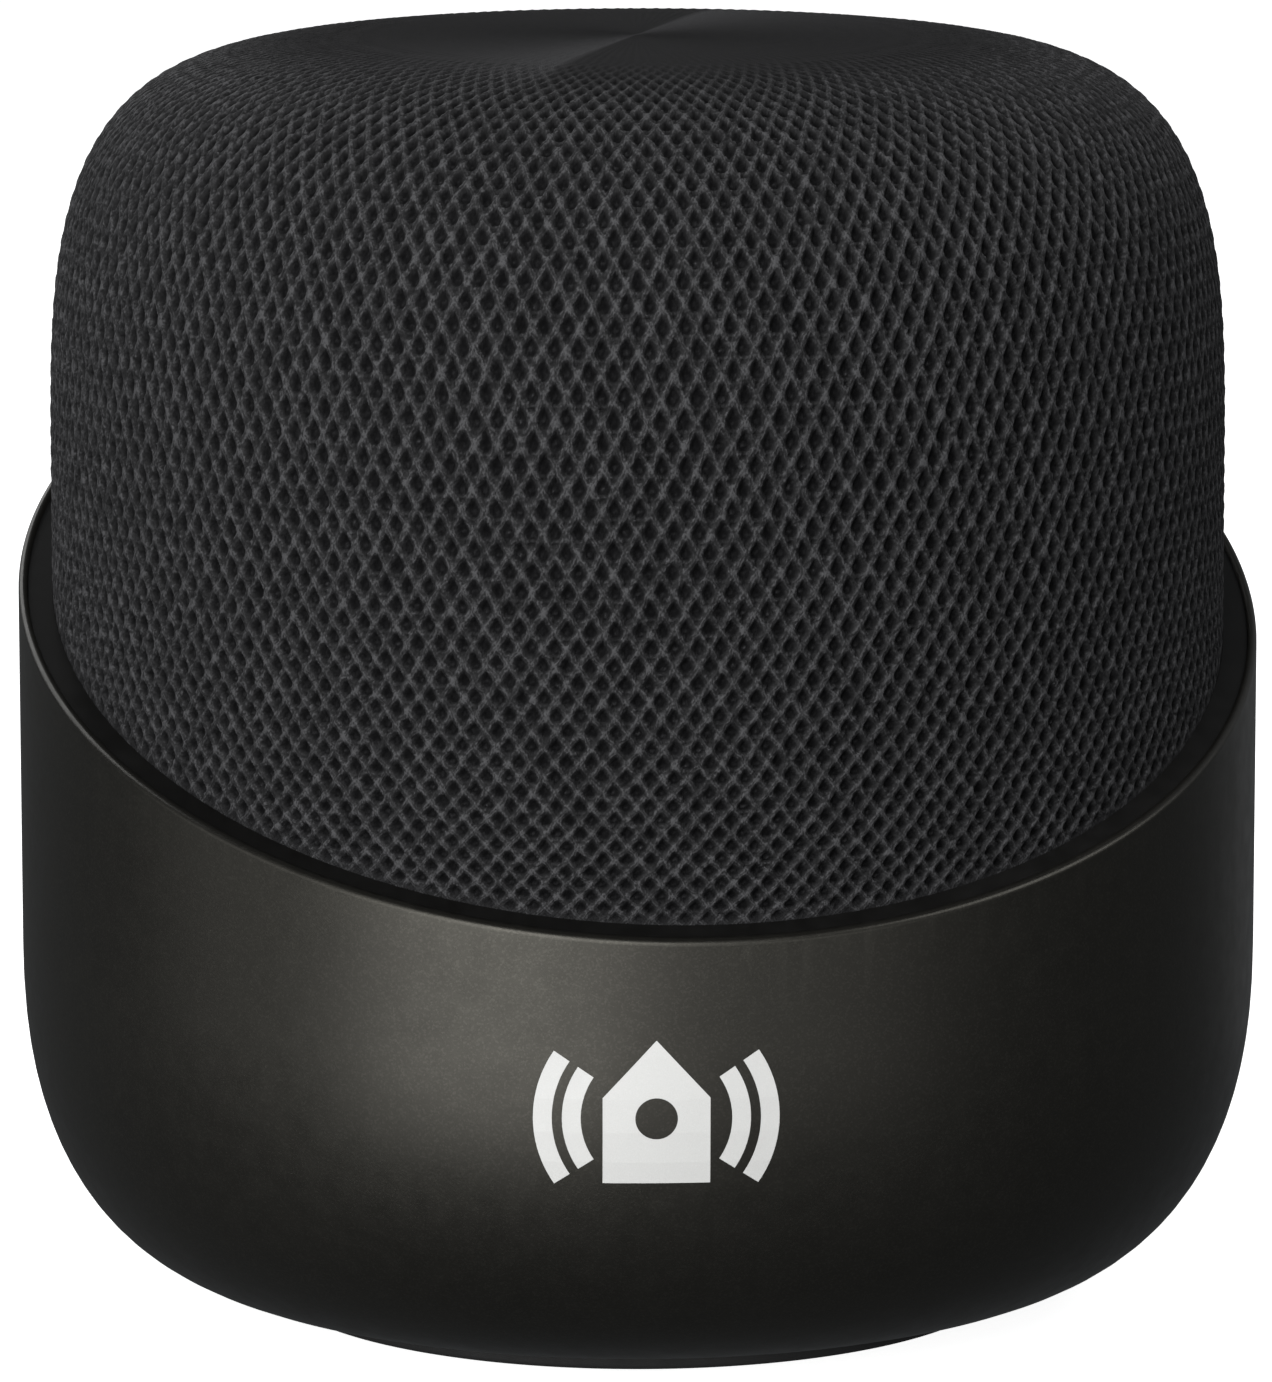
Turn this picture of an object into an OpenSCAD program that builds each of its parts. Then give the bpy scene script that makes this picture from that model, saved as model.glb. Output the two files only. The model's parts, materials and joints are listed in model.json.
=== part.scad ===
// Smart home hub: a fabric-covered speaker dome standing in a graphite cup with a slanted rim.
// Millimetres, +Z up, front towards -Y, origin at the middle of the foot's underside.

/* [Cup] */
// Outside diameter of the cup
cup_d = 105; // [104.6:0.2:106]
// Height of the slanted rim, measured on the middle axis
rim_mid_h = 60.4; // [60:0.2:61.4]
// Slant of the rim, low at the front, in degrees
rim_tilt = 21; // [20:0.5:22]
// Wall thickness of the cup
cup_wall = 2.2; // [2:0.1:2.4]
// Thickness of the cup's floor
cup_floor = 2.4; // [2.2:0.1:2.6]
// Height at which the wall starts to turn into the round lower corner
corner_h = 31; // [30:0.5:32]
// Fullness of the lower corner: 2 is an ellipse, more is squarer
corner_fullness = 2.4; // [2.2:0.1:2.7]
// Radius of the flat underside
flat_r = 30; // [29.5:0.5:31]

/* [Emblem] */
// Height of the emblem's middle
emblem_z = 26.4; // [25.8:0.2:27.4]
// Turn of the emblem round the cup from the rim's lowest point, in degrees
emblem_turn = -5; // [-7:0.5:0]

/* [Foot] */
// Diameter of the rubber foot
foot_d = 63; // [62:0.5:64]
// Height of the rubber foot
foot_h = 1.6; // [1.4:0.1:1.8]

/* [Dome] */
// Overall height of the hub
overall_h = 107.5; // [107:0.5:109]
// Outside diameter of the fabric dome
dome_d = 99.2; // [98.8:0.1:99.4]
// Height at which the upright wall starts to curve into the shoulder
shoulder_h = 70.5; // [69.5:0.5:71.5]
// Fullness of the shoulder towards the wall
shoulder_side = 6; // [5:0.5:7]
// Fullness of the shoulder towards the top
shoulder_top = 3.34; // [3:0.02:3.6]
// Thickness of the knitted sleeve
fabric_t = 0.9; // [0.8:0.1:1]
// Wall thickness of the grille frame
grille_wall = 1.6; // [1.4:0.1:1.7]
// Number of window columns around the grille frame
window_columns = 24; // [20:1:28]

/* [Rear controls] */
// Sideways place of the power inlet
inlet_x = -6.5; // [-6.8:0.1:-6.2]
// Sideways place of the pairing button
button_x = 2.6; // [2.4:0.1:2.8]
// Sideways place of the mute slider when the microphones are on
slider_x = 8.3; // [8.2:0.1:8.4]
// How far the mute slider travels
slider_travel = 2; // [1.5:0.1:2]
// How far the pairing button travels
button_travel = 0.6; // [0.4:0.1:0.6]

/* [Speaker] */
// How far the driver's cone moves each way
cone_travel = 2; // [1:0.5:2]
// How far the passive radiator moves each way
radiator_travel = 2.5; // [1.5:0.5:2.5]

/* [Hidden] */
$fn = 64;

// Colours
graphite = "#3b3a36";
satin_black = "#141312";
knit_black = "#222222";
inner_black = "#1b1b1d";
print_white = "#d7d7d5";
board_green = "#1d5a38";
steel = "#b4b6b8";
copper = "#b5713c";
rubber_black = "#101010";
paper_grey = "#4a4a4a";
film_amber = "#b9813a";
cloth_amber = "#8a6a2f";

// General gaps
big = 200;
gap = 0.1;
fit_gap = 0.05;

// Cup
cup_r = cup_d / 2;
cup_in_r = cup_r - cup_wall;
cup_floor_top = foot_h + cup_floor;
lip_t = 0.75;
lip_in_r = cup_r - lip_t;
trim_top = -0.3;
trim_seat = -2.3;
dome_seat = -5;
shelf_bottom = -8;
shelf_r = 46.2;
corner_steps = 20;
ballast_screw_r = 28;
ballast_t = 5;
ear_post_r = 3.2;
board_post_size = 3;

// Emblem
emblem_depth = 0.3;
emblem_half_h = 5.9;
house_half_w = 4.3;
eaves_z = 1.2;
house_hole_r = 1.7;
arc_radii = [6.8, 9.1];
arc_stroke = 1.5;
arc_half_angle = 34;
arc_drop = -0.5;

// Dome
dome_r = dome_d / 2;
dome_rise = overall_h - shoulder_h;
skin_in = fabric_t + fit_gap;
grille_r = dome_r - skin_in;
grille_in_r = grille_r - grille_wall;
grille_rise = dome_rise - skin_in;
grille_in_rise = grille_rise - grille_wall;
dome_split = 0.8;
dome_steps = 12;
dome_foot = 30;
window_w = 9;
window_h = 10.4;
window_pitch = 13;
window_top = 92;
hook_angles = [0, 60, 120, 180, 240, 300];
hook_w = 7;
hook_t = 1.4;
hook_foot = -11.4;
barb_h = 1.8;
barb_r = 49.4;
hook_slot_w = hook_w + 0.8;
hook_slot_t = 3.4;

// Main board and rear panel
board_z = 20.4;
board_t = 1.6;
board_top = board_z + board_t;
board_r = 42;
board_post_r = 37;
tongue_half_w = 13.5;
tongue_y = 44.6;
port_z = board_top + 1.65;
recess_half_w = 12.5;
recess_low = 17.2;
recess_high = 30;
tray_wall = 1.5;
tray_back = 46.4;
recess_y = 48.4;
inlet_w = 8.94;
inlet_t = 3.26;
inlet_back = 40.7;
inlet_front = 48;
tongue_w = 6.7;
tongue_t = 0.7;
button_r = 2.5;
knob_w = 2.2;
knob_h = 2.6;

// Sealed box and driver
box_z = board_top + 6.5 + radiator_travel;
box_r = 44;
box_wall = 2;
box_top = 63;
gasket_t = 0.8;
baffle_z = box_top + gasket_t;
baffle_t = 3;
baffle_top = baffle_z + baffle_t;
ear_angles = [30, 150, 210, 330];
ear_r = 47.2;
ear_t = 3;
baffle_screw_r = 39.6;
baffle_screw_angles = [for (i = [0:5]) 60 * i];
driver_hole_r = 28.3;
driver_z = baffle_top + 0.5;
driver_face = driver_z + 1.5;
driver_r = 33;
driver_screw_r = 30.8;
driver_screw_angles = [0, 90, 180, 270];
radiator_hole_r = 24.5;
radiator_z = box_z + box_wall;

// Diffuser and top deck
post_angles = [45, 135, 225, 315];
post_r = 37.5;
diffuser_top = 88.5;
carrier_t = 2;
carrier_top = diffuser_top + carrier_t;
inner_top = overall_h - skin_in - grille_wall;
top_board_z = inner_top - 9;
top_board_t = 1.2;
top_board_top = top_board_z + top_board_t;
top_board_r = 33;
top_screw_r = 30;
led_r = 25;
led_count = 12;
mic_r = 18;
mic_angles = [0, 90, 180, 270];
ribbon_w = 8;

// Half-height of the dome's outline at radius r, for a dome of radius a and rise h
function dome_z(r, a, h) = h * pow(1 - pow(r / a, shoulder_side), 1 / shoulder_top);

// Radius of the dome's outline at height z above the shoulder
function dome_at(z, a, h) = a * pow(1 - pow(z / h, shoulder_top), 1 / shoulder_side);

// Outline of a dome from the shoulder up to the axis, points close together at the shoulder
function dome_outline(a, h) =
  let (corner_r = dome_at(dome_split * h, a, h))
  concat(
    [for (i = [0:dome_steps]) let (z = dome_split * h * sin(90 * i / dome_steps))
      [dome_at(z, a, h), shoulder_h + z]],
    [for (i = [1:dome_steps]) let (r = corner_r * (1 - pow(i / dome_steps, 1.3)))
      [r, shoulder_h + dome_z(r, a, h)]]
  );

// Outline of the cup's rounded lower corner, from the flat floor up to the upright wall
function corner_outline(r_wall, z_floor) =
  [for (i = [0:corner_steps])
    let (a = 90 * i / corner_steps, p = 2 / corner_fullness)
    [flat_r + (r_wall - flat_r) * pow(sin(a), p), corner_h - (corner_h - z_floor) * pow(cos(a), p)]];

module lathe(points) {
  rotate_extrude() polygon(points);
}

module tube(r_out, r_in, z_low, z_high) {
  translate([0, 0, z_low]) difference() {
    cylinder(r = r_out, h = z_high - z_low);
    translate([0, 0, -1]) cylinder(r = r_in, h = z_high - z_low + 2);
  }
}

module disc(r, z_low, z_high) {
  translate([0, 0, z_low]) cylinder(r = r, h = z_high - z_low);
}

// A box given by its lowest and highest corners
module block(low, high) {
  translate(low) cube(high - low);
}

// Children repeated at each angle, moved out to radius r
module around(angles, r) {
  for (a = angles) rotate([0, 0, a]) translate([r, 0, 0]) children();
}

// Everything between two planes that lie parallel to the slanted rim, given as heights above it
module slant_slab(low, high) {
  translate([0, 0, rim_mid_h + low]) rotate([rim_tilt, 0, 0])
    translate([-big / 2, -big / 2, 0]) cube([big, big, (high - low) * cos(rim_tilt)]);
}

// Height of the rim plane above the point at angle a and radius r
function rim_z(a, r) = rim_mid_h + r * sin(a) * tan(rim_tilt);

// The cup's outside as a solid, reaching above the rim
module cup_solid(r_wall, z_floor) {
  lathe(concat([[0, z_floor]], corner_outline(r_wall, z_floor), [[r_wall, overall_h], [0, overall_h]]));
}

// The dome as a solid of radius a and rise h above the shoulder, standing on height z_foot
module dome_solid(a, h, z_foot) {
  lathe(concat([[0, z_foot], [a, z_foot]], dome_outline(a, h)));
}

// A pan-head screw with its head's underside at z = 0, pointing down
module screw(head_r, head_h, shank_r, length) {
  cylinder(r = head_r, h = head_h);
  translate([0, 0, -length]) cylinder(r = shank_r, h = length + head_h / 2);
}

// ---- Outside ----

// House with a round window and wireless arcs on both sides, drawn around its own middle
module emblem_outline() {
  difference() {
    polygon([
      [-house_half_w, -emblem_half_h], [house_half_w, -emblem_half_h], [house_half_w, eaves_z],
      [0, emblem_half_h], [-house_half_w, eaves_z]
    ]);
    translate([0, arc_drop]) circle(r = house_hole_r);
  }
  for (side = [0, 1], r = arc_radii) mirror([side, 0]) translate([0, arc_drop]) intersection() {
    difference() {
      circle(r = r + arc_stroke / 2);
      circle(r = r - arc_stroke / 2);
    }
    polygon([[0, 0], [20, -20 * tan(arc_half_angle)], [20, 20 * tan(arc_half_angle)]]);
  }
}

// The emblem's outline as a block that runs in from the front through the skin of the cup
module emblem_block() {
  rotate([0, 0, emblem_turn]) translate([0, -cup_r + 6, emblem_z]) rotate([90, 0, 0])
    linear_extrude(height = 12) emblem_outline();
}

module emblem() {
  color(print_white) intersection() {
    emblem_block();
    difference() {
      cup_solid(cup_r, foot_h);
      cup_solid(cup_r - emblem_depth, foot_h + emblem_depth);
    }
  }
}

module base_shell() {
  color(graphite) difference() {
    union() {
      difference() {
        cup_solid(cup_r, foot_h);
        cup_solid(cup_in_r, cup_floor_top);
      }
      intersection() {
        cup_solid(cup_r - cup_wall / 2, foot_h + cup_floor / 2);
        union() {
          around(post_angles, board_post_r) cylinder(r = board_post_size, h = board_z);
          around(ear_angles, cup_in_r - 2.6) cylinder(r = ear_post_r, h = box_z);
          shelf();
        }
      }
    }
    slant_slab(0, 2 * overall_h);
    difference() {
      slant_slab(trim_seat, 2 * overall_h);
      lathe([[lip_in_r, 0], [big, 0], [big, big], [lip_in_r, big]]);
    }
    around(post_angles, board_post_r) translate([0, 0, board_z - 8]) cylinder(r = 0.9, h = 10);
    around(ear_angles, ear_r) translate([0, 0, box_z - 9]) cylinder(r = 1, h = 12);
    around(post_angles, ballast_screw_r) disc(1.2, 0, 6);
    around(post_angles, ballast_screw_r) disc(2.2, 0, foot_h + 1.3);
    block([-recess_half_w - tray_wall - gap, 40, recess_low - tray_wall - gap],
          [recess_half_w + tray_wall + gap, 60, recess_high + tray_wall + gap]);
    difference() {
      emblem_block();
      cup_solid(cup_r - emblem_depth, foot_h + emblem_depth);
    }
  }
}

// Inner ledge that the dome stands on, open where the box's ears and the dome's hooks pass
module shelf() {
  difference() {
    intersection() {
      tube(cup_r, shelf_r, 10, overall_h);
      slant_slab(shelf_bottom, dome_seat);
    }
    around(ear_angles, 40) translate([0, -5, 0]) cube([20, 10, overall_h]);
    around(hook_angles, shelf_r - 1) translate([0, -hook_slot_w / 2, 0])
      cube([hook_slot_t, hook_slot_w, overall_h]);
  }
}

module rim_trim() {
  color(satin_black) intersection() {
    tube(lip_in_r - fit_gap, dome_r + fit_gap, 20, overall_h);
    slant_slab(trim_seat, trim_top);
  }
}

module rubber_foot() {
  color(rubber_black) difference() {
    disc(foot_d / 2, 0, foot_h - 0.01);
    disc(foot_d / 2 - 7, -1, 0.6);
  }
}

module fabric_sleeve() {
  color(knit_black) intersection() {
    difference() {
      dome_solid(dome_r, dome_rise, dome_foot);
      dome_solid(dome_r - fabric_t, dome_rise - fabric_t, dome_foot - 10);
    }
    slant_slab(dome_seat, 2 * overall_h);
  }
}

// ---- Grille frame ----

// Windows of one column, from just above the rim up to the shoulder
module window_column(angle) {
  rotate([0, 0, angle]) for (z = [window_top - window_h : -window_pitch : rim_z(angle, cup_r) + 4])
    translate([grille_in_r - 6, -window_w / 2, z]) cube([12, window_w, window_h]);
}

module grille_frame() {
  color(inner_black) difference() {
    union() {
      intersection() {
        difference() {
          dome_solid(grille_r, grille_rise, dome_foot);
          dome_solid(grille_in_r, grille_in_rise, dome_foot - 10);
        }
        slant_slab(dome_seat, 2 * overall_h);
      }
      for (a = hook_angles) snap_hook(a);
    }
    for (i = [0:window_columns - 1]) window_column(360 * (i + 0.5) / window_columns);
    around(mic_angles, mic_r) disc(0.8, inner_top - 4, overall_h);
    around([for (i = [0:2 * led_count - 1]) 180 * i / led_count], led_r)
      disc(0.9, inner_top - 4, overall_h);
  }
}

// One hook below the dome's edge, with a barb that catches under the cup's ledge
module snap_hook(a) {
  seat = rim_z(a, grille_in_r);
  rotate([0, 0, a]) {
    block([grille_in_r + 0.05, -hook_w / 2, seat + hook_foot],
          [grille_in_r + hook_t, hook_w / 2, seat + dome_seat + 3]);
    block([grille_in_r + 0.05, -hook_w / 2, seat + hook_foot],
          [barb_r, hook_w / 2, seat + hook_foot + barb_h]);
  }
}

// ---- Rear panel, inlet, button and slider ----

module rear_panel() {
  x = recess_half_w + tray_wall;
  color(satin_black) difference() {
    intersection() {
      block([-x, tray_back, recess_low - tray_wall], [x, 60, recess_high + tray_wall]);
      cup_solid(cup_r, foot_h);
    }
    block([-recess_half_w, recess_y, recess_low], [recess_half_w, 60, recess_high]);
    inlet_block(inlet_w + 2 * gap, inlet_t + 2 * gap, tray_back - 1, recess_y + 1);
    translate([button_x, 60, port_z]) rotate([90, 0, 0]) cylinder(r = button_r + 0.15, h = 20);
    block([slider_x - knob_w / 2 - 0.2, 40, port_z - knob_h / 2 - 0.2],
          [slider_x + slider_travel + knob_w / 2 + 0.2, 60, port_z + knob_h / 2 + 0.2]);
  }
}

// A flat round-ended bar around the inlet's middle line
module inlet_block(w, t, y_low, y_high) {
  translate([inlet_x, y_high, port_z]) rotate([90, 0, 0]) linear_extrude(height = y_high - y_low) {
    square([w - t, t], center = true);
    for (side = [-1, 1]) translate([side * (w - t) / 2, 0]) circle(d = t);
  }
}

module power_inlet() {
  color(steel) difference() {
    inlet_block(inlet_w, inlet_t, inlet_back, inlet_front);
    inlet_block(inlet_w - 0.6, inlet_t - 0.6, inlet_back + 0.8, inlet_front + 1);
  }
}

module inlet_tongue() {
  color(rubber_black)
    block([inlet_x - tongue_w / 2, inlet_back + 0.8, port_z - tongue_t / 2],
          [inlet_x + tongue_w / 2, inlet_front - 1, port_z + tongue_t / 2]);
}

module pairing_button() {
  color(satin_black) translate([button_x, 0, port_z]) rotate([-90, 0, 0]) {
    disc(button_r, tray_back - 0.3, recess_y + 1.2);
    disc(button_r + 0.5, tray_back - 0.9, tray_back - 0.2);
  }
}

module pairing_switch() {
  color(steel) union() {
    block([button_x - 2.8, 40.6, board_top], [button_x + 2.8, 44.2, board_top + 3.4]);
    translate([button_x, 0, port_z]) rotate([-90, 0, 0]) disc(1.2, 44, tray_back - 1 - button_travel);
  }
}

module mute_slider() {
  color(print_white) union() {
    block([slider_x - knob_w / 2, tray_back - 0.6, port_z - knob_h / 2],
          [slider_x + knob_w / 2, recess_y + 1, port_z + knob_h / 2]);
    block([slider_x - 2, tray_back - 0.9, port_z - 2.1], [slider_x + 2, tray_back - 0.2, port_z + 2.1]);
    block([slider_x - 0.6, tray_back - 1.6, port_z - 0.6], [slider_x + 0.6, tray_back - 0.4, port_z + 0.6]);
  }
}

module mute_switch() {
  color(steel) block([slider_x - 2.4, 40.6, board_top], [slider_x + 4.8, tray_back - 1.8, board_top + 3.4]);
}

// ---- Foot of the cup ----

module ballast_plate() {
  color(steel) difference() {
    disc(flat_r, cup_floor_top + fit_gap, cup_floor_top + ballast_t);
    around(post_angles, ballast_screw_r) disc(1, 0, 20);
  }
}

module ballast_screws() {
  color(steel) around(post_angles, ballast_screw_r) translate([0, 0, foot_h + 1.25]) mirror([0, 0, 1])
    screw(2, 1.1, 0.95, 6);
}

// ---- Main board ----

module main_board() {
  color(board_green) difference() {
    union() {
      disc(board_r, board_z + 0.01, board_top);
      block([-tongue_half_w, 20, board_z + 0.01], [tongue_half_w, tongue_y, board_top]);
    }
    around(post_angles, board_post_r) disc(1.2, board_z - 1, board_top + 1);
  }
}

module board_screws() {
  color(steel) around(post_angles, board_post_r) translate([0, 0, board_top]) screw(2, 1.2, 0.85, 8);
}

module processor_shield() {
  color(steel) block([-22, -14, board_top], [0, 6, board_top + 2.2]);
}

module radio_shield() {
  color(steel) union() {
    block([8, -18, board_top], [26, -4, board_top + 0.8]);
    block([9.5, -16.5, board_top + 0.8], [22, -5.5, board_top + 2.8]);
  }
}

module board_capacitors() {
  color(steel) for (i = [0:2]) translate([10 + 8 * i, 18, board_top]) cylinder(r = 3.15, h = 5.4);
}

module board_inductors() {
  color(paper_grey) for (i = [0:1]) translate([12 + 8 * i, 5, board_top]) cube([5, 5, 3]);
}

module radio_antennas() {
  color(board_green) for (side = [0, 1]) mirror([side, 0, 0])
    block([31, 14, board_top], [31.8, 26, board_top + 7]);
}

module ribbon_connector() {
  color(print_white) block([33, -4.6, board_top], [39.4, 4.6, board_top + 1.8]);
}

module speaker_connector() {
  color(print_white) block([-3.2, -40, board_top], [3.2, -35, board_top + 2.4]);
}

// ---- Sealed box with its passive radiator ----

module acoustic_box() {
  color(inner_black) difference() {
    union() {
      tube(box_r, box_r - box_wall, box_z, box_top);
      disc(box_r - box_wall / 2, box_z, box_z + box_wall);
      around(ear_angles, box_r - 1) translate([0, -2.4, box_z]) cube([ear_r - box_r + 1, 4.8, ear_t]);
      around(ear_angles, ear_r) disc(2.4, box_z, box_z + ear_t);
      around(baffle_screw_angles, baffle_screw_r) disc(2.8, box_z + 1, box_top);
    }
    disc(radiator_hole_r, box_z - 1, box_z + box_wall + 1);
    around(ear_angles, ear_r) disc(1.2, box_z - 1, box_z + ear_t + 1);
    around(baffle_screw_angles, baffle_screw_r) disc(0.9, box_top - 8, box_top + 1);
    translate([0, -37.5, 0]) disc(2.6, box_z - 1, box_z + box_wall + 1);
  }
}

module box_screws() {
  color(steel) around(ear_angles, ear_r) translate([0, 0, box_z + ear_t]) screw(2, 1.3, 0.95, 9);
}

module box_gasket() {
  color(rubber_black) tube(box_r, box_r - box_wall, box_top, baffle_z);
}

module baffle() {
  color(inner_black) difference() {
    disc(box_r, baffle_z, baffle_top);
    disc(driver_hole_r, baffle_z - 1, baffle_top + 1);
    around(baffle_screw_angles, baffle_screw_r) disc(1.1, baffle_z - 1, baffle_top + 1);
    around(driver_screw_angles, driver_screw_r) disc(0.85, baffle_z - 1, baffle_top + 1);
    around(post_angles, post_r) disc(1.1, baffle_z - 1, baffle_top + 1);
  }
}

module baffle_screws() {
  color(steel) around(baffle_screw_angles, baffle_screw_r)
    translate([0, 0, baffle_top]) screw(1.9, 1.2, 0.85, 10);
}

module radiator_frame() {
  color(inner_black) lathe([
    [23.6, radiator_z], [28.5, radiator_z], [28.5, radiator_z + 2], [23.6, radiator_z + 2]
  ]);
}

module radiator_surround() {
  color(rubber_black) roll(23.6, 17.9, radiator_z + 2.05, 0.35);
}

module radiator_plate() {
  color(steel) union() {
    disc(17.8, radiator_z + 0.2, radiator_z + 1.95);
    disc(9, radiator_z + 1, radiator_z + 4);
  }
}

// A half-round roll of rubber between two flat lips, from its outer radius to its inner radius
module roll(r_out, r_in, z, t) {
  mid = (r_out + r_in) / 2;
  half = (r_out - r_in) / 2;
  rise = [for (a = [0:15:180]) [mid + half * cos(a), z + t + half * sin(a)]];
  under = [for (a = [180:-15:0]) [mid + (half - t) * cos(a), z + t + (half - t) * sin(a)]];
  lathe(concat(
    [[r_out + 1.6, z], [r_out + 1.6, z + t]], rise, [[r_in - 1.6, z + t], [r_in - 1.6, z], [r_in + t, z]],
    under, [[r_out - t, z]]
  ));
}

// ---- Driver ----

module driver_gasket() {
  color(rubber_black) difference() {
    tube(driver_r, driver_hole_r, baffle_top, driver_z);
    around(driver_screw_angles, driver_screw_r) disc(1.1, baffle_top - 1, driver_z + 1);
  }
}

module driver_basket() {
  low = driver_z - 11.4;
  color(inner_black) difference() {
    union() {
      lathe([
        [8.6, low], [21, low], [28, driver_z], [driver_r, driver_z], [driver_r, driver_face],
        [26.5, driver_face], [26.5, driver_z + 0.3], [20.1, low + 1.2], [8.6, low + 1.2]
      ]);
      tube(20.4, 17.5, low + 1, low + 2.1);
    }
    around(driver_screw_angles, driver_screw_r) disc(1, driver_z - 1, driver_face + 1);
    around([for (i = [0:5]) 60 * i], 18) translate([2.6, -5, low + 3.2]) cube([12, 10, 5.6]);
  }
}

module driver_top_plate() {
  color(steel) tube(16, 8.15, driver_z - 13.95, driver_z - 11.45);
}

module driver_magnet() {
  color(paper_grey) tube(16.5, 10, driver_z - 19.95, driver_z - 13.95);
}

module driver_yoke() {
  color(steel) union() {
    disc(16.5, driver_z - 22.5, driver_z - 19.95);
    disc(6.9, driver_z - 20, driver_z - 11.45);
  }
}

// Pleated ring from the coil's neck out to its ledge in the basket
module driver_spider() {
  z = driver_z - 9.25;
  t = 0.35;
  pleats = [for (i = [0:24]) [8 + 9.2 * i / 24, z + 0.35 * sin(i * 60)]];
  color(cloth_amber) lathe(concat(
    [for (p = pleats) p], [[20, z]], [[20, z + t]],
    [for (i = [24:-1:0]) [pleats[i][0], pleats[i][1] + t]]
  ));
}

module driver_surround() {
  color(rubber_black) roll(27.2, 23.2, driver_face + 0.05, 0.3);
}

module driver_screws() {
  color(steel) around(driver_screw_angles, driver_screw_r) translate([0, 0, driver_face])
    screw(1.6, 1.1, 0.8, 4.2);
}

module driver_terminals() {
  color(copper) for (side = [-1, 1]) translate([side * 2.4, -24.4, driver_z - 9.8])
    cube([1.6, 3, 0.8], center = true);
}

module driver_cone() {
  color(paper_grey) lathe([
    [7.6, driver_z - 7.2], [8.2, driver_z - 7.2], [15.2, driver_z - 2.9], [23.1, driver_face - 0.6],
    [23.1, driver_face - 0.05], [15, driver_z - 2.3], [7.6, driver_z - 6.4]
  ]);
}

module voice_coil() {
  color(copper) union() {
    tube(7.5, 7.25, driver_z - 17, driver_z - 6.5);
    tube(7.85, 7.4, driver_z - 16, driver_z - 10.4);
  }
}

// Shallow dome over the cone's neck
module dust_cap() {
  outer = [for (a = [0:7.5:45]) [12.6 * sin(a), driver_z - 12.6 + 12.6 * cos(a)]];
  inner = [for (a = [45:-7.5:0]) [12.1 * sin(a), driver_z - 12.6 + 12.1 * cos(a)]];
  color(paper_grey) translate([0, 0, 0.9]) lathe(concat(outer, inner));
}

// ---- Wires ----

module speaker_wires() {
  color(rubber_black) for (side = [-1, 1]) union() {
    translate([side * 1.3, -37.5, board_top + 2.4]) cylinder(r = 0.6, h = 26);
    translate([side * 1.3, -37.5, board_top + 28.4]) sphere(r = 0.6);
    translate([side * 1.3, -37.5, board_top + 28.4]) rotate([-58, 0, 0]) cylinder(r = 0.6, h = 12.4);
  }
}

module wire_grommet() {
  color(rubber_black) translate([0, -37.5, 0]) difference() {
    union() {
      disc(2.55, box_z - 1, box_z + box_wall + 1);
      disc(3.4, box_z - 1.4, box_z - 0.05);
    }
    for (side = [-1, 1]) translate([side * 1.3, 0, 0]) disc(0.65, box_z - 2, box_z + box_wall + 2);
  }
}

// Flat ribbon from the main board up past the box to the top board, as a thick line in side view
module ribbon_cable() {
  t = 0.3;
  path = [
    [39.6, board_top + 0.8], [43.2, board_top + 1.2], [45, board_top + 5], [45, baffle_top + 2],
    [43.8, 85], [42.4, 88], [42.4, 92], [40, top_board_z - 1.2], [34, top_board_z - 1.2]
  ];
  color(film_amber) translate([0, ribbon_w / 2, 0]) rotate([90, 0, 0]) linear_extrude(height = ribbon_w)
    for (i = [0:len(path) - 2]) ribbon_link(path[i], path[i + 1], t);
}

// One straight stretch of a line of thickness t with round ends
module ribbon_link(from, to, t) {
  run = norm(to - from);
  turn = atan2(to[1] - from[1], to[0] - from[0]);
  translate(from) rotate(turn) translate([0, -t / 2]) square([run, t]);
  translate(from) circle(d = t);
}

// ---- Diffuser and top deck ----

module sound_diffuser() {
  tip_z = driver_face + 3.2 + cone_travel;
  rise = diffuser_top - 2.4 - tip_z;
  color(inner_black) difference() {
    union() {
      lathe(concat(
        [[0, tip_z]], [for (i = [1:8]) [30 * i / 8, tip_z + rise * pow(i / 8, 1.6)]],
        [[40.4, diffuser_top - 2.4], [40.4, diffuser_top], [29, diffuser_top]],
        [for (i = [7:-1:1]) [30 * i / 8, tip_z + 2 + rise * pow(i / 8, 1.6)]], [[0, tip_z + 2]]
      ));
      around(post_angles, post_r) disc(2.6, baffle_top, diffuser_top - 1);
    }
    around(post_angles, post_r) disc(0.9, baffle_top - 1, baffle_top + 8);
    around(post_angles, post_r) disc(0.9, diffuser_top - 8, diffuser_top + 1);
  }
}

module diffuser_screws() {
  color(steel) around(post_angles, post_r) translate([0, 0, baffle_z]) mirror([0, 0, 1])
    screw(2, 1.2, 0.85, 9);
}

module top_carrier() {
  color(inner_black) difference() {
    union() {
      disc(40.4, diffuser_top, carrier_top);
      around(post_angles, top_screw_r) disc(2.4, carrier_top - 0.5, top_board_z - 0.01);
    }
    around(post_angles, post_r) disc(1.1, diffuser_top - 1, carrier_top + 1);
    around(post_angles, top_screw_r) disc(0.85, carrier_top, top_board_z + 1);
  }
}

module carrier_screws() {
  color(steel) around(post_angles, post_r) translate([0, 0, carrier_top]) screw(1.9, 1.2, 0.85, 8);
}

module top_board() {
  color(board_green) difference() {
    disc(top_board_r, top_board_z, top_board_top);
    around(post_angles, top_screw_r) disc(1, top_board_z - 1, top_board_top + 1);
  }
}

module top_board_screws() {
  color(steel) around(post_angles, top_screw_r) translate([0, 0, top_board_top]) screw(1.7, 1, 0.8, 4.6);
}

module status_leds() {
  color(print_white) around([for (i = [0:led_count - 1]) 360 * i / led_count], led_r)
    block([-1, -1, top_board_top], [1, 1, top_board_top + 0.8]);
}

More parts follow.
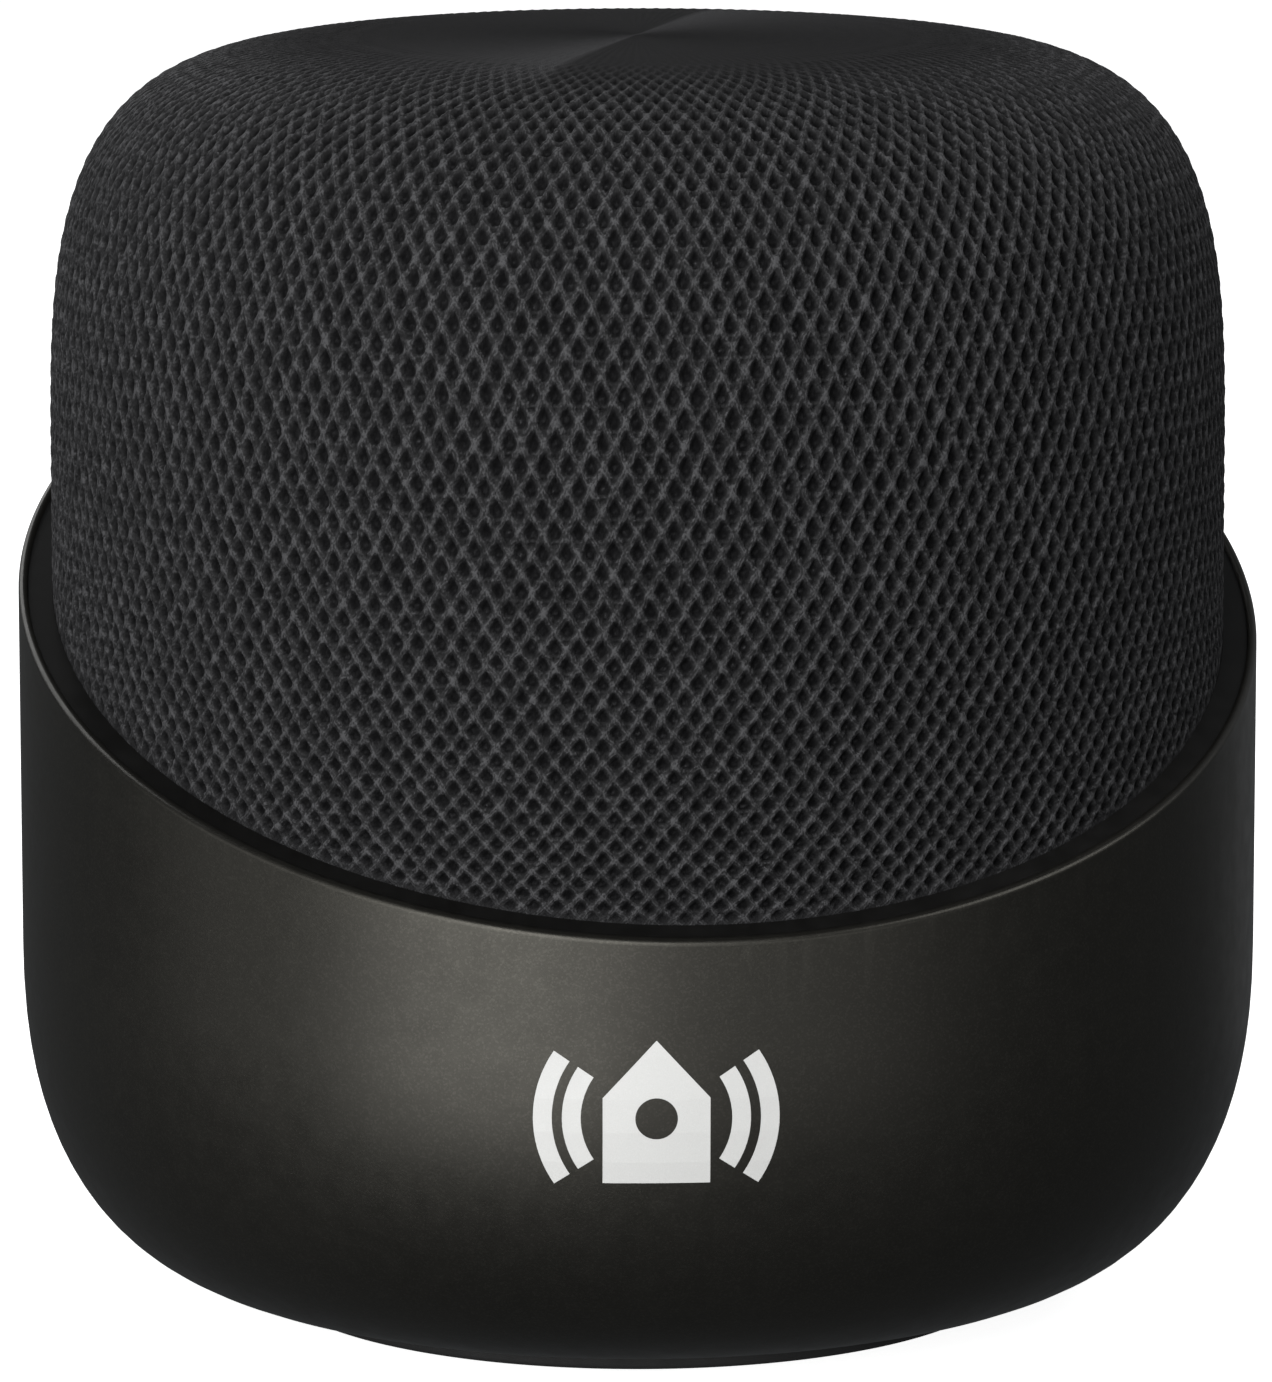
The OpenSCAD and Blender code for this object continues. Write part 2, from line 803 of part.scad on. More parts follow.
module light_ring() {
  color(print_white) tube(led_r + 2, led_r - 2, top_board_top + 1, inner_top - 0.8);
}

module microphones() {
  color(steel) around(mic_angles, mic_r) block([-1.5, -2, top_board_top], [1.5, 2, top_board_top + 1.1]);
}

module mic_boots() {
  color(rubber_black) around(mic_angles, mic_r) tube(2.4, 0.6, top_board_top + 1.15, inner_top - 0.3);
}

module touch_film() {
  color(copper) disc(15, inner_top - 0.35, inner_top - 0.15);
}

base_shell();
rim_trim();
emblem();
rubber_foot();
fabric_sleeve();
grille_frame();
rear_panel();
power_inlet();
inlet_tongue();
pairing_button();
pairing_switch();
mute_slider();
mute_switch();
ballast_plate();
ballast_screws();
main_board();
board_screws();
processor_shield();
radio_shield();
board_capacitors();
board_inductors();
radio_antennas();
ribbon_connector();
speaker_connector();
acoustic_box();
box_screws();
box_gasket();
baffle();
baffle_screws();
driver_gasket();
driver_basket();
driver_top_plate();
driver_magnet();
driver_yoke();
driver_spider();
driver_surround();
driver_screws();
driver_terminals();
driver_cone();
voice_coil();
dust_cap();
radiator_frame();
radiator_surround();
radiator_plate();
speaker_wires();
wire_grommet();
sound_diffuser();
diffuser_screws();
top_carrier();
carrier_screws();
top_board();
top_board_screws();
status_leds();
light_ring();
microphones();
mic_boots();
touch_film();
ribbon_cable();
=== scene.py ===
"""Looks of the smart home hub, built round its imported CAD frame.

Metres, +Z up, front towards -Y, origin at the middle of the foot's underside.
"""

import json
import math

import bpy
import numpy as np
from mathutils import Matrix, Vector


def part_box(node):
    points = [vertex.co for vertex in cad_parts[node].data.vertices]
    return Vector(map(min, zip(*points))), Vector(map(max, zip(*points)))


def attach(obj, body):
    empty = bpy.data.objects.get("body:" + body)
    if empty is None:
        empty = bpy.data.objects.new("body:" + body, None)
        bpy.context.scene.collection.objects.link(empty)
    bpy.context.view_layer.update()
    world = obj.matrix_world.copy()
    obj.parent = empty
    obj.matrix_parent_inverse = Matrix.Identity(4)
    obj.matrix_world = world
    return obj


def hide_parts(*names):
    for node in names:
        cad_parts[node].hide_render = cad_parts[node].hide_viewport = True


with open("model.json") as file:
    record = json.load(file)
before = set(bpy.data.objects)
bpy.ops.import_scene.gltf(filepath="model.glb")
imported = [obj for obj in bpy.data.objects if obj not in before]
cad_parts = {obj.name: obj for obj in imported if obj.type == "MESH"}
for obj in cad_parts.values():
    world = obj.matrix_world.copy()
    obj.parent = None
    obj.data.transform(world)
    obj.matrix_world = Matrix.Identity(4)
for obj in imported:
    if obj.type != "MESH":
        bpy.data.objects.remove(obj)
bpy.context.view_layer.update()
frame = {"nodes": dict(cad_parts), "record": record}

MM = 0.001
SEED = 11

# Shape of the hub, from the CAD frame and the outlines its parts share
RIM_ANGLE = math.radians(21)
RIM_TILT = math.tan(RIM_ANGLE)
RIM_MID_Z = 60.4 * MM
CUP_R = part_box("base_shell")[1].x
CUP_FLAT_R = 30 * MM
CUP_CORNER_Z = 31 * MM
CUP_FULLNESS = 2.4
PLAIN_WALL_Z = 33 * MM  # no opening or pocket in the cup's wall above this
RIM_EDGE = 0.4 * MM
NEAR_OUTLINE = 0.06 * MM
FOOT_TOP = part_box("rubber_foot")[1].z
FOOT_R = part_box("rubber_foot")[1].x
DOME_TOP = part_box("fabric_sleeve")[1].z
DOME_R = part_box("fabric_sleeve")[1].x
SHOULDER_Z = 70.5 * MM
SHOULDER_SIDE = 6
SHOULDER_TOP = 3.34
HIDDEN_GAP = 0.01 * MM  # keeps a piece's faces off the CAD faces it meets
SLEEVE_T = 0.9 * MM
SLEEVE_SEAT = 4.9 * MM / math.cos(RIM_ANGLE)

# Knit of the sleeve. Two staggered rows of holes make one period, which is widest at a height
# a little above the shoulder's start and shrinks below it and above it, per metre of cloth
COLUMNS = 165
COLUMN_SAMPLES = 10
SLEEVE_STEP = 0.2 * MM
ROW_PERIOD = 3.83 * MM
ROW_PERIOD_Z = 82.4 * MM
SHRINK_BELOW = 0.05
SHRINK_ABOVE = 0.035
SHRINK_REACH = 26 * MM
HOLE_DEPTH = 0.5 * MM
PAD_HEIGHT = 0.05 * MM
STRAND_HEIGHT = 0.10 * MM
FUZZ_HEIGHT = 0.014 * MM
HIDDEN_HEM = 4.7 * MM  # the cloth is plain this far above its edge, behind the trim ring
HEM_BLEND = 1.2 * MM

# Crown of the sleeve: the radii where the holes close, and the yarn tones of its painted fan of
# highlight and shade
KNIT_ENDS_R = 21 * MM
KNIT_FULL_R = 39 * MM
COARSE_R = 30 * MM
COARSE_ROWS = 52
POLE_GAP = 0.6 * MM
# Where the painted fan of highlight and shade reaches, how far round it turns, and its painted shade
# and painted highlight tones
PAINTED_FAN_FULL_R = 28 * MM
PAINTED_FAN_ENDS_R = 38 * MM
PAINTED_FAN_TURN = 15
CROWN_PAINTED_SHADE = 0.06
CROWN_TONE = 0.19
CROWN_PAINTED_HIGHLIGHT = 0.8

# Lights and camera
LIGHT_DISTANCE = 0.9
VIEW_AZIMUTH = -6.6
VIEW_ELEVATION = 9.75
VIEW_ROLL = -0.05
VIEW_DISTANCE = 0.735
VIEW_TARGET_Z = 51.5 * MM
VIEW_SHIFT = -0.0014  # sideways, as a share of the frame's longer side
SENSOR = 36
LENS = 224.9


# ---------------------------------------------------------------- meshes

def make_object(name, points, faces, attributes=None):
    """A smooth-shaded mesh object from an array of points and a list of arrays of faces."""
    mesh = bpy.data.meshes.new(name)
    mesh.vertices.add(len(points))
    mesh.vertices.foreach_set("co", np.asarray(points, np.float32).ravel())
    counts = np.concatenate([np.full(len(f), f.shape[1]) for f in faces])
    corners = np.concatenate([f.ravel() for f in faces])
    mesh.loops.add(len(corners))
    mesh.loops.foreach_set("vertex_index", corners.astype(np.int32))
    mesh.polygons.add(len(counts))
    starts = np.concatenate([[0], np.cumsum(counts)[:-1]])
    mesh.polygons.foreach_set("loop_start", starts.astype(np.int32))
    mesh.polygons.foreach_set("use_smooth", np.ones(len(counts), bool))
    for key, values in (attributes or {}).items():
        layer = mesh.attributes.new(key, "FLOAT", "POINT")
        layer.data.foreach_set("value", np.asarray(values, np.float32).ravel())
    mesh.update(calc_edges=True)
    mesh.validate()
    obj = bpy.data.objects.new(name, mesh)
    bpy.context.scene.collection.objects.link(obj)
    return obj


def rim_height(y):
    """Height of the slanted rim plane over a place y, low at the front."""
    return RIM_MID_Z + RIM_TILT * y


def lathe(name, radii, heights, steps, slant=None):
    """A closed turned solid. Points from index slant on have heights measured from the rim plane."""
    radii, heights = np.asarray(radii, float), np.asarray(heights, float)
    angle = np.arange(steps) * 2 * math.pi / steps
    ring, turn = np.meshgrid(np.arange(len(radii)), angle, indexing="ij")
    r = radii[ring]
    x, y, z = r * np.sin(turn), -r * np.cos(turn), heights[ring]
    if slant is not None:
        z = np.where(ring >= slant, z + rim_height(y), z)
    points = np.stack([x, y, z], -1).reshape(-1, 3)
    i, j = np.meshgrid(np.arange(len(radii) - 1), np.arange(steps), indexing="ij")
    a, b = i * steps + j, i * steps + (j + 1) % steps
    quads = np.stack([a, b, b + steps, a + steps], -1).reshape(-1, 4)
    low, high = len(points), len(points) + 1
    last = (len(radii) - 1) * steps
    rounds = np.arange(steps)
    after = (rounds + 1) % steps
    caps = np.concatenate([
        np.stack([after, rounds, np.full(steps, low)], -1),
        np.stack([last + rounds, last + after, np.full(steps, high)], -1),
    ])
    ends = [points[:steps].mean(0), points[last:last + steps].mean(0)]
    return make_object(name, np.concatenate([points, ends]), [quads, caps])


def smooth_by_angle(obj, degrees=32):
    """Smooth shading that keeps the sharp edges."""
    obj.data.shade_smooth()
    obj.data.set_sharp_from_angle(angle=math.radians(degrees))


def arc(cx, cz, radius, start, end, steps):
    """Radii and heights of an arc in a section, angles in degrees from +r towards +z."""
    turn = np.radians(np.linspace(start, end, steps))
    return cx + radius * np.cos(turn), cz + radius * np.sin(turn)


def cup_outline(steps=56):
    """The cup's outside from the edge of its flat underside to the start of the upright wall."""
    turn = np.radians(np.linspace(0, 90, steps))
    power = 2 / CUP_FULLNESS
    radius = CUP_FLAT_R + (CUP_R - CUP_FLAT_R) * np.sin(turn) ** power
    height = CUP_CORNER_Z - (CUP_CORNER_Z - FOOT_TOP) * np.cos(turn) ** power
    return radius, height


# ---------------------------------------------------------------- cup

def make_cup():
    """The cup with its rim edge rounded: the CAD shell kept inside a turned envelope."""
    base_r, base_z = cup_outline()
    edge_r, edge_z = arc(CUP_R - RIM_EDGE, -RIM_EDGE, RIM_EDGE, 0, 90, 8)
    envelope = lathe(
        "envelope",
        np.concatenate([base_r, edge_r]) - HIDDEN_GAP,
        np.concatenate([base_z + HIDDEN_GAP, edge_z - HIDDEN_GAP]),
        steps=576, slant=len(base_r),
    )
    source = frame["nodes"]["base_shell"]
    cup = bpy.data.objects.new("cup", source.data.copy())
    bpy.context.scene.collection.objects.link(cup)
    weld = cup.modifiers.new("weld", "WELD")
    weld.merge_threshold = 1e-6
    cut = cup.modifiers.new("cut", "BOOLEAN")
    cut.operation = "INTERSECT"
    cut.solver = "MANIFOLD"
    cut.object = envelope
    apply_modifiers(cup)
    bpy.data.objects.remove(envelope)
    smooth_by_angle(cup)
    turned_normals(cup, np.concatenate([base_r, edge_r]), np.concatenate([base_z, edge_z]),
                   len(base_r))
    return cup


def turned_normals(obj, radii, heights, slant):
    """Exact normals for the faces that lie on a turned outline, so that cuts leave no shading.

    Points of the outline from index slant on have heights measured from the rim plane.
    """
    mesh = obj.data
    if "custom_normal" in mesh.attributes:
        mesh.attributes.remove(mesh.attributes["custom_normal"])
    count = len(mesh.loops)
    vertex = np.zeros(count, np.int32)
    mesh.loops.foreach_get("vertex_index", vertex)
    points = np.zeros(len(mesh.vertices) * 3)
    mesh.vertices.foreach_get("co", points)
    points = points.reshape(-1, 3)[vertex]
    sizes = np.zeros(len(mesh.polygons), np.int32)
    mesh.polygons.foreach_get("loop_total", sizes)
    facing = np.zeros(len(mesh.polygons) * 3)
    mesh.polygons.foreach_get("normal", facing)
    facing = np.repeat(facing.reshape(-1, 3), sizes, 0)

    # Below the rim edge the outline goes by height, and from there by height over the rim plane
    reach = np.hypot(points[:, 0], points[:, 1])
    outward = points[:, :2] / np.maximum(reach, 1e-9)[:, None]
    under = points[:, 2] - rim_height(points[:, 1])
    low_r, low_z = radii[:slant], heights[:slant]
    high_r, high_z = radii[slant:], heights[slant:]
    tilt_low = np.arctan2(-np.gradient(low_r), np.gradient(low_z))
    tilt_low[-1] = 0
    tilt = np.interp(points[:, 2], low_z, tilt_low)
    expected = np.interp(points[:, 2], low_z, low_r)
    upper = under > high_z[0]
    tilt_high = np.linspace(0, math.pi / 2, len(high_r))
    tilt = np.where(upper, np.interp(under, high_z, tilt_high), tilt)
    expected = np.where(upper, np.interp(under, high_z, high_r), expected)
    normal = np.column_stack([outward * np.cos(tilt)[:, None], np.sin(tilt)])
    near = np.abs(reach - expected) < NEAR_OUTLINE
    alike = (normal * facing).sum(1) > 0.85
    alike |= (points[:, 2] > PLAIN_WALL_Z) & (under < -0.3 * MM)
    normal[~(near & alike)] = 0
    mesh.normals_split_custom_set(normal)


def apply_modifiers(obj):
    """Replaces the object's mesh by its modified one."""
    graph = bpy.context.evaluated_depsgraph_get()
    mesh = bpy.data.meshes.new_from_object(obj.evaluated_get(graph))
    obj.modifiers.clear()
    obj.data = mesh


# ---------------------------------------------------------------- foot

def make_foot():
    """The rubber foot: a disc with a soft edge, a hollow middle and three grooves underneath."""
    edge = 0.5 * MM
    bevel = 0.1 * MM
    hub_r = 0.2 * MM
    hollow = 0.6 * MM
    groove = 0.35 * MM
    pitch = 1.6 * MM
    inner = FOOT_R - 7 * MM
    radii = [hub_r, inner, inner + 0.15 * MM]
    heights = [hollow, hollow, 0.0]
    for k in range(3):
        middle = inner + pitch * (1 + k)
        for share, drop in ((-1, 0), (-0.5, 1), (0.5, 1), (1, 0)):
            radii.append(middle + share * groove)
            heights.append(drop * groove)
    low_r, low_z = arc(FOOT_R - edge, edge, edge, -90, 0, 7)
    top = FOOT_TOP - HIDDEN_GAP
    radii += list(low_r) + [FOOT_R, FOOT_R - bevel, hub_r]
    heights += list(low_z) + [top - bevel, top, top]
    foot = lathe("foot", radii, heights, steps=240)
    smooth_by_angle(foot)
    return foot


# ---------------------------------------------------------------- knitted sleeve

def dome_radius(z):
    """The dome's outside radius at a height."""
    t = np.clip((z - SHOULDER_Z) / (DOME_TOP - SHOULDER_Z), 0, 1)
    return DOME_R * (1 - t ** SHOULDER_TOP) ** (1 / SHOULDER_SIDE)


def dome_meridian(start_z):
    """Distance, radius and height along the dome from a height up to the pole, closest there."""
    rise = DOME_TOP - start_z
    z = DOME_TOP - rise * (1 - np.linspace(0, 1, 40000)) ** 6
    r = dome_radius(z)
    r[-1] = 0
    along = np.concatenate([[0], np.cumsum(np.hypot(np.diff(r), np.diff(z)))])
    return along, r, z


def smoothstep(low, high, value):
    """A soft step from 0 at low to 1 at high, which may be the smaller of the two."""
    t = np.clip((value - low) / (high - low), 0, 1)
    return t * t * (3 - 2 * t)


def cell_noise(row, column, salt):
    """A steady random number from 0 to 1 for each cell of the knit."""
    mixed = np.sin(row * 127.1 + column * 311.7 + salt * 74.7 + SEED) * 43758.5453
    return mixed - np.floor(mixed)


def knit(column, row, ruffle):
    """Relief, yarn tone with painted shade and painted highlights, holes and strand lean of the
    knit, its holes ragged by a ruffle.

    Holes stand in staggered rows. Strands run between them along both diagonals, so they pass
    where column - row / 2 or column + row / 2 is half-way between whole numbers, and swell into
    upright pads where they cross.
    """
    hole, dimple, pad, tone, loop = (np.zeros_like(column) for _ in range(5))
    nearest = np.round(row)

    # Each cell takes its hole from its own row or a neighbour's
    for step in (-1, 0, 1):
        line = nearest + step
        shift = 0.5 * (line % 2)
        index = np.round(column - shift)
        wobble = cell_noise(line, index % COLUMNS, 1)
        drift = cell_noise(line, index % COLUMNS, 3) - 0.5
        across = column - shift - index - 0.07 * drift
        up = row - line - 0.05 * (wobble - 0.5)

        # A hole like a drop: round below, pointed above, with t from 0 at its foot to 1
        t = (up + 0.41) / 0.88
        low = np.sqrt(np.clip(1 - ((t - 0.34) / 0.36) ** 2, 0, 1))
        high = 1 - np.clip((t - 0.34) / 0.68, 0, 1) ** 1.4
        half = (0.24 + 0.07 * wobble + 0.022 * ruffle) * np.where(t < 0.34, low, high)
        inside = smoothstep(-0.05, 0.09, half - np.abs(across))
        inside *= (t > -0.02) & (t < 1.02)
        hole = np.maximum(hole, inside)

        # A dimple under each hole, and a loop of yarn seen deep inside some
        dip = 1 - np.hypot(across / 0.19, (up + 0.63) / 0.17)
        dimple = np.maximum(dimple, smoothstep(0, 0.4, dip) * (0.45 + 0.55 * wobble))
        inner = 1 - np.hypot((across - 0.1 * drift) / 0.15, (up + 0.12 + 0.15 * drift) / 0.14)
        loop = np.maximum(loop, smoothstep(0, 0.8, inner) * cell_noise(line, index % COLUMNS, 5))

        # The pad beside each hole, with a painted highlight: random painted glints make some pads
        # brighter than others
        beside = np.round(column - shift - 0.5)
        aside = column - shift - 0.5 - beside
        painted_pad_glint = cell_noise(line, beside % COLUMNS, 2)
        swell = 1 - (aside / 0.22) ** 2 - ((up + 0.10) / 0.40) ** 2
        lump = smoothstep(0, 0.9, swell)
        pad = np.maximum(pad, lump)
        tone = np.maximum(tone, lump * (0.2 + 1.05 * painted_pad_glint ** 2))

    one, other = column - row / 2, column + row / 2
    off_one = np.abs(one - np.floor(one) - 0.5)
    off_other = np.abs(other - np.floor(other) - 0.5)
    ridge = np.sqrt(np.clip(1 - (np.minimum(off_one, off_other) / 0.21) ** 2, 0, 1))
    relief = PAD_HEIGHT * pad - HOLE_DEPTH * hole * (1 - 0.35 * loop)
    relief -= 0.6 * HOLE_DEPTH * dimple
    relief += STRAND_HEIGHT * (ridge - 1) * (1 - hole)
    # Yarn tone with painted light: painted shade darkens the holes and the dimples under them, and
    # painted highlights brighten the strand crests and the pads; the loops deep in the holes are
    # yarn
    yarn = (0.26 + 0.26 * ridge + 0.36 * tone) * (1 - 0.83 * hole) * (1 - 0.65 * dimple)
    yarn += (0.01 + 0.38 * loop) * hole
    lean = np.clip(4 * (off_other - off_one), -1, 1)
    return relief, yarn, hole, lean


def sleeve_lines():
    """Where the sleeve's lines of points lie along the dome, from under the hem to the crown.

    Gives the dome's meridian, each line's distance, radius, height and outward normal along it,
    and each line's place in rows of holes.
    """
    lowest = rim_height(-DOME_R) - SLEEVE_SEAT
    along, r_line, z_line = dome_meridian(lowest - 1 * MM)
    total = along[-1]
    crown_at = along[np.argmax(r_line[10:] < COARSE_R) + 10]
    fine = np.arange(0, crown_at, SLEEVE_STEP)
    coarse = np.linspace(crown_at, total - POLE_GAP, COARSE_ROWS)
    s = np.concatenate([fine, coarse])
    r = np.interp(s, along, r_line)
    z = np.interp(s, along, z_line)
    slope = np.stack([np.gradient(r, s), np.gradient(z, s)])
    slope /= np.hypot(*slope)
    normal = slope[1], -slope[0]

    peak = along[np.argmax(z_line > ROW_PERIOD_Z)]
    period = ROW_PERIOD - SHRINK_BELOW * np.clip(peak - along, 0, None)
    period -= SHRINK_ABOVE * np.clip(along - peak, 0, SHRINK_REACH)
    rows = np.concatenate([[0], np.cumsum(np.diff(along) * 2 / period[1:])])
    return (along, z_line), s, r, z, normal, np.interp(s, along, rows)


def painted_crown_fan(turn, r, rib):
    """Yarn tones of the smooth crown, with a painted fan of highlight and shade.

    The fan of light and dark round the pole is painted into the colour: painted highlight on one
    side and painted shade on the other, where a nap lying one way round the pole would catch the
    light.
    """
    # The painted fan: painted highlight one way round the pole, painted shade the other way
    sweep = ((np.degrees(turn) + PAINTED_FAN_TURN) % 180) / 180
    sweep = sweep * smoothstep(1, 0.96, sweep)
    fan = (CROWN_PAINTED_SHADE + (CROWN_PAINTED_HIGHLIGHT - CROWN_PAINTED_SHADE) * sweep ** 4.5)[None, :]
    fan = CROWN_TONE + (fan - CROWN_TONE) * smoothstep(PAINTED_FAN_ENDS_R, PAINTED_FAN_FULL_R, r)[:, None]
    return fan + 0.02 * rib


def make_sleeve():
    """The knitted cap over the dome, with its holes, pads and strands in the mesh."""
    around = COLUMNS * COLUMN_SAMPLES
    (along, z_line), s, r, z, (normal_r, normal_z), row = sleeve_lines()

    # Relief and yarn tone over the whole cap, with the rows a little uneven
    turn = np.arange(around) * 2 * math.pi / around
    column = np.arange(around) / COLUMN_SAMPLES
    row_grid, column_grid = np.meshgrid(row, column, indexing="ij")
    sway = 0.05 * np.sin(row_grid * 0.9 + 5 * np.sin(column_grid * 2 * math.pi / COLUMNS * 3))
    lift = 0.06 * np.sin(column_grid * 2 * math.pi / COLUMNS * 17 + row_grid * 0.4)
    fuzz = np.random.default_rng(SEED).normal(0, 1, row_grid.shape)
    fuzz = (fuzz + np.roll(fuzz, 1, 0) + np.roll(fuzz, 1, 1)) / 3
    relief, yarn, hole, lean = knit(column_grid + sway, row_grid + lift, fuzz)
    relief += FUZZ_HEIGHT * fuzz
    yarn = np.clip(yarn * (1 + 0.42 * fuzz) + 0.05 * fuzz, 0, 1.4)

    # The holes close towards the crown, where the columns run together into fine ribs
    open_share = smoothstep(KNIT_ENDS_R, KNIT_FULL_R, r)[:, None]
    rib = np.cos(column_grid * 2 * math.pi)
    rib_relief = 0.02 * (r[:, None] / COLUMNS * 2 * math.pi) * (rib - 1)
    relief = relief * open_share + rib_relief * (1 - open_share)
    # On the crown the yarn tone is the painted fan of highlight and shade
    yarn = yarn * open_share + painted_crown_fan(turn, r, rib) * (1 - open_share)

    # The cloth lies flat towards its slanted edge
    edge_z = rim_height(-DOME_R * np.cos(turn)) - SLEEVE_SEAT
    above = smoothstep(HIDDEN_HEM, HIDDEN_HEM + HEM_BLEND, z[:, None] - edge_z[None, :])
    relief *= above
    yarn = 0.3 + (yarn - 0.3) * (0.4 + 0.6 * above)
    out = r[:, None] + relief * normal_r[:, None]
    high = z[:, None] + relief * normal_z[:, None]
    below = z[:, None] < edge_z[None, :]
    high = np.where(below, edge_z[None, :], high)
    points = np.stack([
        out * np.sin(turn), -out * np.cos(turn), high,
    ], -1).reshape(-1, 3)

    # Below the slanted edge each column keeps only its last point, moved onto the edge
    first = np.maximum(below.sum(0) - 1, 0)
    lines = np.arange(len(s))

    def at(j, i):
        return np.maximum(j, first[i]) * around + i

    j, i = np.meshgrid(lines[:-1], np.arange(around), indexing="ij")
    k = (i + 1) % around
    quads = np.stack([at(j, i), at(j, k), at(j + 1, k), at(j + 1, i)], -1).reshape(-1, 4)
    left = quads[:, 0] == quads[:, 3]
    right = quads[:, 1] == quads[:, 2]
    full = quads[~left & ~right]
    tri_left = quads[left & ~right][:, [0, 1, 2]]
    tri_right = quads[~left & right][:, [0, 1, 3]]

    # Pole
    pole = len(points)
    last = (len(s) - 1) * around + np.arange(around)
    cap = np.stack([last, np.roll(last, -1), np.full(around, pole)], -1)
    points = np.concatenate([points, [[0, 0, DOME_TOP]]])

    # Plain inner face, one point a column
    inner_rows = 30
    rim_s = np.interp(edge_z[::COLUMN_SAMPLES], z_line, along)
    share = np.linspace(0, 1, inner_rows)[:, None]
    inner_s = rim_s[None, :] + share * (along[-1] - 2 * MM - rim_s[None, :])
    inner_r = np.interp(inner_s, s, r) - SLEEVE_T * np.interp(inner_s, s, normal_r)
    inner_z = np.interp(inner_s, s, z) - SLEEVE_T * np.interp(inner_s, s, normal_z)
    inner_turn = turn[::COLUMN_SAMPLES]
    inner = np.stack([
        inner_r * np.sin(inner_turn), -inner_r * np.cos(inner_turn), inner_z,
    ], -1).reshape(-1, 3)
    base = len(points)
    inner_pole = base + len(inner)
    points = np.concatenate([points, inner, [[0, 0, DOME_TOP - SLEEVE_T]]])
    j, i = np.meshgrid(np.arange(inner_rows - 1), np.arange(COLUMNS), indexing="ij")
    k = (i + 1) % COLUMNS
    a, b = base + j * COLUMNS + i, base + j * COLUMNS + k
    inner_quads = np.stack([b, a, a + COLUMNS, b + COLUMNS], -1).reshape(-1, 4)
    top = base + (inner_rows - 1) * COLUMNS + np.arange(COLUMNS)
    inner_cap = np.stack([np.roll(top, -1), top, np.full(COLUMNS, inner_pole)], -1)

    # Hem: each column's outer points fan out from its inner point
    outer = at(0, np.arange(around))
    fan_from = base + np.arange(around) // COLUMN_SAMPLES
    hem = np.stack([np.roll(outer, -1), outer, fan_from], -1)
    turn_over = np.stack([
        outer[::COLUMN_SAMPLES], np.roll(base + np.arange(COLUMNS), 1),
        base + np.arange(COLUMNS),
    ], -1)

    # Only the points that a face uses are kept. The knit's values go with them
    faces = [full, inner_quads, tri_left, tri_right, cap, inner_cap, hem, turn_over]
    used = np.zeros(len(points), bool)
    for f in faces:
        used[f.ravel()] = True
    renumbered = np.cumsum(used) - 1
    faces = [renumbered[f] for f in faces]
    plain_points = len(points) - len(s) * around

    def kept(values, plain):
        return np.concatenate([values.ravel(), np.full(plain_points, plain)])[used]

    return make_object("knitted_sleeve", points[used], faces, {
        # The yarn tone here includes painted shade in the holes and painted highlights on strands,
        # pads and crown
        "yarn": kept(yarn, 0.4),
        "hollow": kept(hole * open_share * above, 0),
        "knit_row": kept(row_grid + lift, 0),
        "lean": kept(lean, 0),
        "crown": kept(np.broadcast_to(1 - open_share, row_grid.shape), 0),
    })


# ---------------------------------------------------------------- materials

def start_material(name):
    """A new material, its node tree and its Principled shader."""
    material = bpy.data.materials.new(name)
    material.use_nodes = True
    tree = material.node_tree
    tree.nodes.clear()
    output = tree.nodes.new("ShaderNodeOutputMaterial")
    shader = tree.nodes.new("ShaderNodeBsdfPrincipled")
    tree.links.new(shader.outputs["BSDF"], output.inputs["Surface"])
    return material, tree, shader


def add(tree, kind, inputs=None, **settings):
    """A node of that kind. Inputs are values or the sockets to link from."""
    node = tree.nodes.new("ShaderNode" + kind)
    for key, value in settings.items():
        setattr(node, key, value)
    for key, value in (inputs or {}).items():
        socket = node.inputs[key]
        if isinstance(value, bpy.types.NodeSocket):
            tree.links.new(value, socket)
        else:
            socket.default_value = value
    return node


def place(tree, scale=(1, 1, 1)):
    """The object's own coordinates, in metres, stretched by a scale."""
    where = add(tree, "TexCoord").outputs["Object"]
    return add(tree, "Mapping", {"Vector": where, "Scale": scale}).outputs["Vector"]


def noise(tree, scale, detail=3, stretch=(1, 1, 1), rough=0.5):
    """Noise with that many bumps a metre, from 0 to 1."""
    return add(tree, "TexNoise", {
        "Vector": place(tree, stretch), "Scale": scale, "Detail": detail, "Roughness": rough,
    }).outputs["Fac"]


def remap(tree, value, low, high, from_low=0, from_high=1):
    """A linear change of range, clamped."""
    return add(tree, "MapRange", {
        "Value": value, "From Min": from_low, "From Max": from_high,
        "To Min": low, "To Max": high,
    }).outputs["Result"]


def blend_colour(tree, factor, first, second):
    """A mix of two colours or colour sockets."""
    node = add(tree, "Mix", data_type="RGBA")
    for index, value in ((0, factor), (6, first), (7, second)):
        if isinstance(value, bpy.types.NodeSocket):
            tree.links.new(value, node.inputs[index])
        else:
            node.inputs[index].default_value = value
    return node.outputs[2]


def bump(tree, height, distance, strength=1.0, normal=None):
    """The normal of a surface raised by a height from 0 to 1, over another bump's if given."""
    inputs = {"Height": height, "Distance": distance, "Strength": strength}
    if normal is not None:
        inputs["Normal"] = normal
    return add(tree, "Bump", inputs).outputs["Normal"]


def math_node(tree, operation, *values):
    """The result of a Math node on numbers or sockets."""
    return add(tree, "Math", dict(enumerate(values)), operation=operation).outputs[0]


def shade(colour, factor):
    """The colour made darker or lighter."""
    return tuple(c * factor for c in colour[:3]) + (1,)


